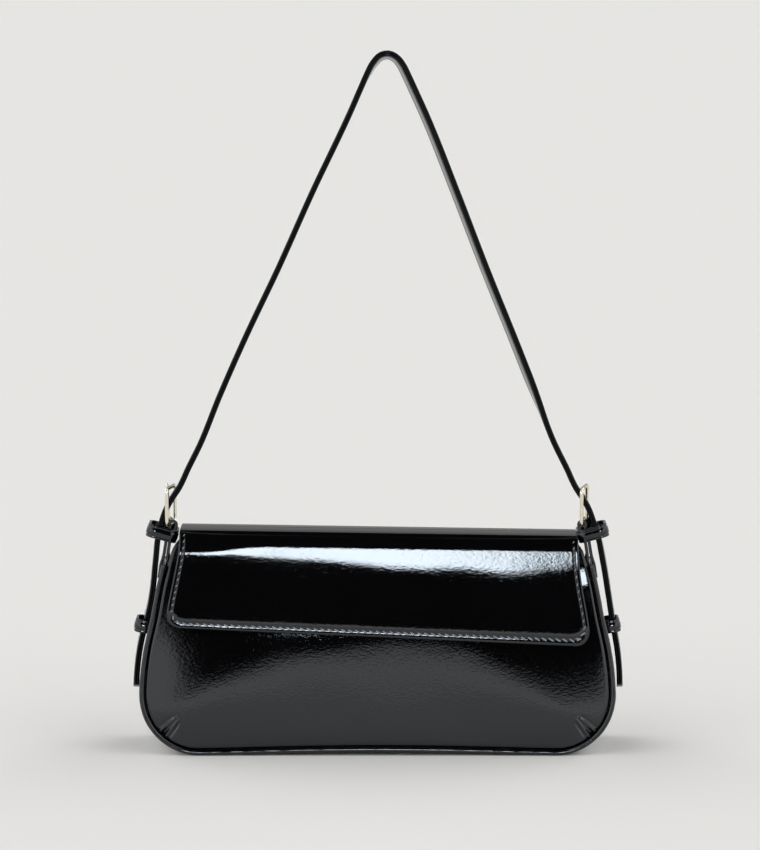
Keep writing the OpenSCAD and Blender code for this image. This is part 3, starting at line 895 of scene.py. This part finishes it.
def prism_faces(rings, sides):
    """Faces of a closed body over rings, with one flat face at each end."""
    faces = grid_faces(rings, sides, close_cols=True)
    last = (rings - 1) * sides
    return faces + [tuple(range(sides))[::-1], tuple(range(last, last + sides))]


def stitch(a, b, normal, r):
    """A stitch from a to b, lying on a face with that normal."""
    along = (b - a) / np.linalg.norm(b - a)
    side = np.cross(along, normal)
    cosines, sines = circle(STITCH_SIDES)
    rings = []
    for share, size, sink in STITCH_FORM:
        middle = a + (b - a) * share - normal * sink
        rings.append(middle + r * size * (cosines * side + sines * normal))
    return np.concatenate(rings), prism_faces(len(rings), STITCH_SIDES)


def flap_edge_line():
    """Places (r, x) of the stitches: down the left edge, along the bottom, up the right edge."""
    turn = FLAP_END - FLAP_CORNER_R
    r_side = np.linspace(27, turn, 60)
    arc = np.linspace(0, math.pi / 2, 24)[1:]
    inner = FLAP_CORNER_R - STITCH_INSET
    side_x = flap_half(r_side) - STITCH_INSET
    corner_r = turn + inner * np.sin(arc)
    corner_x = flap_half(turn) - FLAP_CORNER_R + inner * np.cos(arc)
    left = np.r_[np.stack([r_side, -side_x], 1), np.stack([corner_r, -corner_x], 1)]
    return np.r_[left, left[::-1] * [1, -1]]


# The stitches along the bottom are longer and thicker
SIDE_STITCH_R, MORE_BELOW = 0.27, 0.29
SIDE_STITCH_LOSS = 1.2
STITCH_BELOW = (FLAP_END - 12, FLAP_END - 4)


def flap_stitches():
    line = flap_edge_line()
    along = lengths(line)
    apart = np.array([-1, 1])
    parts = []
    for start in np.arange(0.5, along[-1] - STITCH_LEN, STITCH_PITCH):
        low_row = float(smooth(np.interp(start, along, line[:, 0]), *STITCH_BELOW))
        ends = start + np.array([0, STITCH_LEN - SIDE_STITCH_LOSS * (1 - low_row)])
        r = np.interp(ends, along, line[:, 0])
        x = np.interp(ends, along, line[:, 1])
        out = np.array([np.diff(x)[0], -np.diff(r)[0]]) / STITCH_LEN * STITCH_SLANT
        r, x = r + out[0] * apart, x + out[1] * apart
        c = x / flap_half(r)
        low = np.array([flap_points(ri, ci) for ri, ci in zip(r, c)])
        high = np.array([flap_points(ri, ci, 1.0) for ri, ci in zip(r, c)])
        normal = (high - low).mean(0)
        size = SIDE_STITCH_R + MORE_BELOW * low_row
        parts.append(stitch(low[0], low[1], normal / np.linalg.norm(normal), size))
    return join_meshes("flap_stitches", parts, THREAD_PAINTED_GLINT)


LINING_PINCH = 1.4
REAR_SKIN_T, REAR_LINING_T = 1.3, 1.1
REAR_SPAN, FRONT_SPAN = (YOKE_END, FLAP_SPLIT), (FLAP_SPLIT, FLAP_END)
REAR_CLOTH, REAR_OUT = (-1.0, FLAP_SPLIT), -1.35
FRONT_CLOTH, FRONT_OUT = (FLAP_SPLIT, FLAP_END - LINING_PINCH), -FLAP_SKIN_T - 0.02


def make_flap():
    skin = flap_sheet("flap_rear_skin", REAR_SPAN, 0.0, REAR_SKIN_T, PATENT)
    bend(skin, *REAR_FOLD, "patent_black", "flap_yoke", "flap_top_skin")
    cloth = flap_sheet("flap_rear_cloth", REAR_CLOTH, REAR_OUT, REAR_LINING_T, LINING, LINING_PINCH)
    bend(cloth, *REAR_FOLD, "lining_cloth", "flap_top_lining")
    skin = flap_sheet("flap_front_sheet", FRONT_SPAN, 0.0, FLAP_SKIN_T, PATENT)
    bend(skin, *FRONT_FOLD, "patent_black", "flap_front_skin", "flap_stiffener")
    cloth = flap_sheet("flap_front_cloth", FRONT_CLOTH, FRONT_OUT, FLAP_LINING_T, LINING, LINING_PINCH)
    bend(cloth, *FRONT_FOLD, "lining_cloth", "flap_front_lining")
    blend(flap_stitches(), *FRONT_FOLD)


# Strap: one band from the end of one tail, over the top, to the end of the other, as (x, z)
RIGHT_TAIL = [
    (145.6, 36), (145.4, 44), (144.0, 59), (141.2, 75), (138.2, 94), (135.2, 112), (132.0, 127),
]
LOWER_LEG = [
    (128.4, 138), (126.6, 143), (122.6, 150.5), (118.4, 156.8), (112.7, 168.8), (106, 182.3),
    (94, 212),
]
RIGHT_LEG_TOP = [(80, 246), (62, 288), (43, 334), (24, 379), (17, 394), (13, 402.5)]
TOP_BEND = [(10, 408.3), (6.5, 412.4), (2.6, 414.2), (-1.8, 413.4), (-6, 409.4), (-9.6, 403.3)]
LEFT_LEG_TOP = [(-14, 394), (-20.5, 379), (-41, 334), (-60.5, 288), (-79.5, 246)]
LEFT_TAIL = [
    (145, 36), (144.6, 44), (142.8, 59), (140.0, 72), (137.2, 82), (134.8, 95), (133.0, 112),
    (131.2, 127),
]
STRAP_POINTS = 420
TOP_SHIFT, SHIFT_Z = 4.0, (190, 416)
TWIST_RIGHT, TWIST_Z, TWIST_X = math.radians(11), (186, 225), (-14, 4)
TAIL_TWIST, TAIL_Z = math.radians(4), (116, 134)
TAIL_END_R = 5.0
STRAP_BEND = (("bag", "strap_loop"), ((0, 0, 111), (0, 0, 133)))

# Spare holes in the tails, and the tail's middle line there as (heights, places)
HOLE_HEIGHTS = (100.0, 82.0)
HOLE_R, HOLE_LEN, HOLE_SLOPE, HOLE_SIDES = 1.3, 9, 0.16, 20
TAIL_MIDDLE = ([75, 94, 112], [141.7, 138.6, 135.8])


def strap_path():
    left = [(-x, z) for x, z in LEFT_TAIL + LOWER_LEG][::-1]
    right = RIGHT_TAIL + LOWER_LEG + RIGHT_LEG_TOP
    flat = np.array(right + TOP_BEND + LEFT_LEG_TOP + left, float)
    shift = TOP_SHIFT * smooth(flat[:, 1], *SHIFT_Z)
    points = np.stack([flat[:, 0] + shift, np.zeros(len(flat)), flat[:, 1]], 1)
    return spline(points, np.linspace(0, 1, STRAP_POINTS))


def band_section(rim, width, thick, crease, depth, spread):
    """Outline of a flat band from its half rim, with a creased line near each edge."""
    w, t = width / 2, thick / 2
    crease_line = [(w - crease + spread, t), (w - crease, t - depth), (w - crease - spread, t)]
    quarter = rim + crease_line + [(w * 0.4, t + 0.12)]
    top = quarter + [(-x, y) for x, y in quarter[::-1]]
    return np.array(top[:-1] + [(x, -y) for x, y in top[::-1][:-1]])


def strap_section():
    """The strap's outline, with a painted edge where its two plies meet."""
    w, t = STRAP_W / 2, STRAP_T / 2
    rim = [(w - 0.5, 0), (w - 0.12, 0.2), (w, 0.7), (w - 0.1, 1.2), (w - 0.4, t - 0.14), (w - 0.95, t)]
    return band_section(rim, STRAP_W, STRAP_T, crease=1.7, depth=0.22, spread=0.35)


def cut(obj, cutters):
    tool = join_meshes("cutter", cutters, obj.data.materials[0])
    boolean = obj.modifiers.new("cut", "BOOLEAN")
    boolean.operation = "DIFFERENCE"
    boolean.solver = "EXACT"
    boolean.object = tool
    apply_modifiers(obj)
    bpy.data.objects.remove(tool)
    obj.data.set_sharp_from_angle(angle=math.radians(38))


def hole(side, height):
    """A rod through a tail, square to the tail's face."""
    middle = np.array([side * np.interp(height, *TAIL_MIDDLE), 0, height])
    axis = np.array([1, 0, HOLE_SLOPE * side])
    axis = axis / np.linalg.norm(axis)
    across = np.cross(axis, (0, 1, 0))
    across /= np.linalg.norm(across)
    cosines, sines = circle(HOLE_SIDES)
    ring = middle + HOLE_R * (cosines * across + sines * np.cross(axis, across))
    half = axis * HOLE_LEN / 2
    return np.r_[ring - half, ring + half], prism_faces(2, HOLE_SIDES)


def paint_edges(obj, section, rows):
    """Gives the band's round edges their own painted finish."""
    obj.data.materials.append(EDGE_PAINT)
    cols = len(section)
    at_edge = np.abs(section[:, 0]) > STRAP_W / 2 - 1.0
    for face in obj.data.polygons:
        column = face.index % cols
        if face.index < (rows - 1) * cols and at_edge[column] and at_edge[(column + 1) % cols]:
            face.material_index = 1


def make_strap():
    path = strap_path()
    x, z = path[:, 0], path[:, 2]
    twist = TWIST_RIGHT * smooth(z, *TWIST_Z) * smooth(x, *TWIST_X)
    twist = twist - TAIL_TWIST * (1 - smooth(z, *TAIL_Z))
    section = strap_section()
    rings = sweep(path, section, (0, 1, 0), twist=twist)
    reach = lengths(path)
    from_end = np.minimum(reach, reach[-1] - reach)
    lost = round_off(np.clip(TAIL_END_R - from_end, 0, TAIL_END_R), TAIL_END_R)
    narrow = np.ones_like(path)
    narrow[:, 1] = np.clip(1 - lost / (STRAP_W / 2), 0.25, 1)
    rings = path[:, None] + (rings - path[:, None]) * narrow[:, None]
    obj = tube_mesh("shoulder_strap", rings, STRAP_PATENT)
    paint_edges(obj, section, len(path))
    cut(obj, [hole(side, height) for side in (-1, 1) for height in HOLE_HEIGHTS])
    bend(obj, *STRAP_BEND, "strap_black", "strap", "left_strap_tail", "right_strap_tail")


# Keepers: a bulging band bent into a loop
KEEPER_CORNER_R = 3.4
KEEPER_BULGE = 0.45
KEEPER_EDGE = 0.5


def keeper_ring(length):
    """Middle line of a keeper: a flat loop that lies round the strap, open above and below."""
    half_x, half_y = length / 2 + KEEPER_T / 2, KEEPER_OUT - KEEPER_T / 2
    r = min(KEEPER_CORNER_R, 0.7 * half_x)
    path = []
    for cx, cy, start in ((1, 1, 0), (-1, 1, 90), (-1, -1, 180), (1, -1, 270)):
        for a in np.radians(np.linspace(start, start + 90, 9)):
            x = cx * (half_x - r) + r * math.cos(a)
            path.append((x, cy * (half_y - r) + r * math.sin(a), 0))
    return resample(np.array(path + path[:1]), 0.9)[:-1]


def keeper_section():
    """The keeper's outline: round edges and a bulging middle."""
    w, t, r = KEEPER_H / 2, KEEPER_T / 2, KEEPER_EDGE
    rim = [(w, 0.0), (w - r * 0.13, t - r * 0.5)]
    for a in (math.radians(60), math.radians(90)):
        rim.append((w - r + r * math.cos(a), t - r + r * math.sin(a)))
    section = band_section(rim, KEEPER_H, KEEPER_T, crease=1.6, depth=0.4, spread=0.55)
    bulge = KEEPER_BULGE * (1 - (section[:, 0] / w) ** 2)
    section[:, 1] += np.sign(section[:, 1]) * bulge
    return section


def make_keeper(name, side, body, place, tilt, length):
    """One keeper at a place (x, z, gap to its inner side), tilted with the strap."""
    rings = sweep(keeper_ring(length), keeper_section(), (0, 0, 1), closed=True)
    x, y, z = rings[..., 0] + length / 2 + place[2], rings[..., 1], rings[..., 2]
    y = y * (1 - KEEPER_LEAN * z / KEEPER_OUT)
    c, s = math.cos(tilt), math.sin(tilt)
    world = np.stack([side * (place[0] + x * c - z * s), y, place[1] + x * s + z * c], -1)
    faces = grid_faces(*world.shape[:2], close_rows=True, close_cols=True)
    obj = recalc(new_mesh(f"{name}_loop", world, faces, STRAP_PATENT))
    rigid(obj, body, f"{name}_keeper")


# Chapes: half their thickness over all, at the loop, at the neck and where they are sewn
CHAPE_LOOP, CHAPE_NECK, CHAPE_SEWN = 3.15, 2.05, 2.95
CHAPE_LOW = 101.5 - BAR_Z
CHAPE_T = 1.9
CHAPE_HALF_W, SLOT_HALF_W = 7.2, 1.15
SLOT_LOW = -2.4
CHAPE_END_R = 3
CHAPE_TURN_Z = (-9, -2)
CHAPE_BEND = (("bag", "strap_loop"), ((0, 0, 113), (0, 0, 132.5)))


def chape_path():
    """The chape in its own side view: up the outside, round the bar and down the inside."""
    arc = np.radians(np.linspace(-20, 200, 24))
    over = np.stack([CHAPE_LOOP * np.cos(arc), CHAPE_LOOP * np.sin(arc)], 1)
    sewn = [(CHAPE_SEWN, CHAPE_LOW), (CHAPE_SEWN, -24), (CHAPE_NECK + 0.3, -21)]
    neck = [(CHAPE_NECK, -18), (CHAPE_NECK, -8), (CHAPE_NECK + 0.25, -5)]
    outside = np.array(sewn + neck)
    return resample(np.r_[outside, over, outside[::-1] * [-1, 1]], 0.9)


def chape_faces(path, y, side):
    """The chape's faces, without those of the slot that the prong comes through."""
    slot = (np.abs(y) < SLOT_HALF_W + 0.05).nonzero()[0]
    faces = []
    for face in grid_faces(len(path), len(y)):
        row, col = divmod(face[0], len(y))
        if path[row, 1] <= SLOT_LOW or not slot[0] <= col < slot[-1]:
            faces.append(face if side > 0 else face[::-1])
    return faces


def make_chape(word, side):
    path = chape_path()
    edge = graded(SLOT_HALF_W, CHAPE_HALF_W, 0.25, 0.9)
    middle = graded(-SLOT_HALF_W, SLOT_HALF_W, 0.3, 0.6)[1:-1]
    y = np.r_[graded(-CHAPE_HALF_W, -SLOT_HALF_W, 0.25, 0.9), middle, edge]
    px, pz = path[:, :1], path[:, 1:]
    near_end = np.clip(CHAPE_END_R - (pz - CHAPE_LOW), 0, CHAPE_END_R)
    gy = y[None] * (1 - round_off(near_end, CHAPE_END_R) / CHAPE_HALF_W)
    upright = smooth(pz, *CHAPE_TURN_Z)
    turn = BUCKLE_TURN * upright
    x1 = px * np.cos(turn) + gy * np.sin(turn)
    y1 = gy * np.cos(turn) - px * np.sin(turn)
    c, s = math.cos(SIDE_TAPER), math.sin(SIDE_TAPER)
    gx = (x1 * c - pz * s) * (1 - upright) + x1 * upright
    gz = (x1 * s + pz * c) * (1 - upright) + pz * upright
    world = np.stack([side * (BAR_X + gx), y1, BAR_Z + gz], -1)
    obj = new_mesh(f"{word}_chape_skin", world, chape_faces(path, y, side), PATENT)
    thicken(obj, CHAPE_T, even=False)
    subdivide(obj)
    bend(obj, *CHAPE_BEND, "patent_black", f"{word}_chape", f"{word}_chape_anchor")


# Keepers: body, place as (x, z, gap), tilt and the length that each closes round
SIDE_AT_Z = 72
LOWER_X = CORNER_X + CORNER_R / math.cos(SIDE_TAPER) - (SIDE_AT_Z - CORNER_R) * math.tan(SIDE_TAPER)
KEEPERS = {
    "upper": ("strap_loop", (119.6, 127.6, KEEPER_T), math.radians(15), 15.6),
    "lower": ("bag", (LOWER_X, 73.0, 0.2 + KEEPER_T), SIDE_TAPER, 7.8),
}


def make_end_pieces():
    for word, side in ENDS:
        for level, form in KEEPERS.items():
            make_keeper(f"{word}_{level}", side, *form)
        make_chape(word, side)


# Camera at the photograph's viewing angle and framing
PHOTO_W, PHOTO_H = 760, 850
PIXEL = 0.5945 * MM
BASE_PIXEL = (377.5, 756.0)
CAMERA_FAR = 2.54
LOOK_DOWN = math.radians(7.5)
SENSOR = 36.0


def make_camera():
    data = bpy.data.cameras.new("camera")
    data.sensor_width = SENSOR
    data.lens = CAMERA_FAR * SENSOR / (PHOTO_H * PIXEL)
    data.clip_end = 100
    camera = bpy.data.objects.new("camera", data)
    bpy.context.scene.collection.objects.link(camera)
    look = Vector((0, math.cos(LOOK_DOWN), -math.sin(LOOK_DOWN)))
    up = Vector((0, math.sin(LOOK_DOWN), math.cos(LOOK_DOWN)))
    right = PIXEL * (PHOTO_W / 2 - BASE_PIXEL[0])
    rise = PIXEL * (BASE_PIXEL[1] - PHOTO_H / 2)
    foot = Vector((0, -BASE_D / 2 * MM, 0))
    camera.location = foot + up * rise + Vector((right, 0, 0)) - look * CAMERA_FAR
    camera.rotation_mode = "QUATERNION"
    camera.rotation_quaternion = look.to_track_quat("-Z", "Y")
    bpy.context.scene.camera = camera


# Studio: a pale room with a dark card over the top, a softbox on it, a shade behind and a strip of
# light at each side. Spans are in degrees, over the top from the front horizon and to the side
CARD = ((6.0, 146.0), (-11.2, 17.0))
SOFTBOX = ((15.5, 26.5), (-2.2, 2.8))
SHADE = ((146.0, 178), (-25, 25))
STRIP_OVER, STRIP_ASIDE = (12, 168), (38, 45)
BOX_LIGHT = 21.0
ROOM_LIGHT = 1.1
BACK_SHADE = 0.66
STRIP_LIGHT = 1.5
LEAST_LIGHT = 0.004
ROOM_TINT = (1.0, 0.992, 0.98, 1)
BOX_TINT = (0.88, 0.95, 1.0, 1)
BACKDROP = (0.80, 0.80, 0.79, 1)


def math_node(tree, kind, a, b=None, c=None):
    """One sum, on numbers or on other nodes' outputs."""
    node = tree.nodes.new("ShaderNodeMath")
    node.operation = kind
    for socket, value in zip(node.inputs, (a, b, c)):
        if isinstance(value, (int, float)):
            socket.default_value = value
        elif value is not None:
            tree.links.new(value, socket)
    return node.outputs[0]


def step_up(tree, value, at, width):
    """0 below a place and 1 above it, with a soft step of that width."""
    node = tree.nodes.new("ShaderNodeMapRange")
    node.interpolation_type = "SMOOTHSTEP"
    set_inputs(node, {"From Min": at - width / 2, "From Max": at + width / 2})
    tree.links.new(value, node.inputs["Value"])
    return node.outputs[0]


def between(tree, value, low, high, width):
    """1 inside a span and 0 outside it."""
    rise, fall = step_up(tree, value, low, width), step_up(tree, value, high, width)
    return math_node(tree, "SUBTRACT", rise, fall)


def studio_angles(tree):
    """Angle up from the front horizon over the top, and angle to the side, in degrees."""
    coords = tree.nodes.new("ShaderNodeTexCoord")
    split = tree.nodes.new("ShaderNodeSeparateXYZ")
    tree.links.new(coords.outputs["Generated"], split.inputs[0])
    x, y, z = split.outputs
    toward = math_node(tree, "MULTIPLY", y, -1.0)
    over = math_node(tree, "MULTIPLY", math_node(tree, "ARCTAN2", z, toward), 180 / math.pi)
    aside = math_node(tree, "MULTIPLY", math_node(tree, "ARCSINE", x), 180 / math.pi)
    return over, aside


def window(tree, angles, spans, widths):
    """1 inside a window of the studio's wall and 0 outside it."""
    tall, wide = (between(tree, a, *span, w) for a, span, w in zip(angles, spans, widths))
    return math_node(tree, "MULTIPLY", tall, wide)


def studio_light(tree):
    """The light's strength in each direction, and where the softbox is."""
    angles = over, aside = studio_angles(tree)
    card = window(tree, angles, CARD, (0.6, 0.8))
    softbox = window(tree, angles, SOFTBOX, (0.35, 0.25))
    shade = window(tree, angles, SHADE, (0.6, 8))
    covered = math_node(tree, "MULTIPLY_ADD", shade, BACK_SHADE, card)
    room = math_node(tree, "MULTIPLY", math_node(tree, "SUBTRACT", 1.0, covered), ROOM_LIGHT)
    near, far = STRIP_ASIDE
    left, right = between(tree, aside, -far, -near, 2), between(tree, aside, near, far, 2)
    strips = math_node(tree, "ADD", right, left)
    strips = math_node(tree, "MULTIPLY", strips, between(tree, over, *STRIP_OVER, 6))
    light = math_node(tree, "MULTIPLY_ADD", strips, STRIP_LIGHT, room)
    light = math_node(tree, "MULTIPLY_ADD", softbox, BOX_LIGHT, light)
    return math_node(tree, "ADD", light, LEAST_LIGHT), softbox


def make_world():
    world = bpy.data.worlds.new("studio")
    bpy.context.scene.world = world
    world.use_nodes = True
    tree = world.node_tree
    nodes, links = tree.nodes, tree.links
    nodes.clear()
    light, softbox = studio_light(tree)
    tint = nodes.new("ShaderNodeMix")
    tint.data_type = "RGBA"
    tint.inputs["A"].default_value = ROOM_TINT
    tint.inputs["B"].default_value = BOX_TINT
    links.new(softbox, tint.inputs["Factor"])
    mirrored = nodes.new("ShaderNodeBackground")
    links.new(tint.outputs["Result"], mirrored.inputs["Color"])
    links.new(light, mirrored.inputs["Strength"])
    seen = nodes.new("ShaderNodeBackground")
    seen.inputs["Color"].default_value = BACKDROP
    path = nodes.new("ShaderNodeLightPath")
    mix = nodes.new("ShaderNodeMixShader")
    links.new(path.outputs["Is Camera Ray"], mix.inputs[0])
    links.new(mirrored.outputs[0], mix.inputs[1])
    links.new(seen.outputs[0], mix.inputs[2])
    out = nodes.new("ShaderNodeOutputWorld")
    links.new(mix.outputs[0], out.inputs[0])


FLOOR_HALF_W = 60000.0
FLOOR_COLOR = (0.86, 0.855, 0.845, 1)


def make_floor():
    mat, _, shader = node_material("studio_floor")
    set_inputs(shader, {"Base Color": FLOOR_COLOR, "Roughness": 0.9, "Specular IOR Level": 0.1})
    points = FLOOR_HALF_W * np.array([(-1, -1, 0), (1, -1, 0), (1, 1, 0), (-1, 1, 0)])
    floor = new_mesh("floor", points, [(0, 1, 2, 3)], mat, shade_smooth=False)


scene = bpy.context.scene
scene.view_settings.view_transform = "Standard"
make_camera()
make_world()
make_floor()

for make in (panel, piping):
    for face_word, face_side in FACES:
        make(face_word, face_side)
gusset()
make_inside()
make_flap()
make_strap()
make_end_pieces()

# Finishes of the pieces whose CAD solids are shown as they are
CAD_FINISHES = (
    (GOLD, ("left_buckle_frame", "right_buckle_frame", "left_prong", "right_prong")),
    (SNAP, ("snap_socket", "snap_stud", "socket_washer", "stud_washer")),
)
for finish, node_names in CAD_FINISHES:
    for node_name in node_names:
        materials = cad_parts[node_name].data.materials
        materials.clear()
        materials.append(finish)
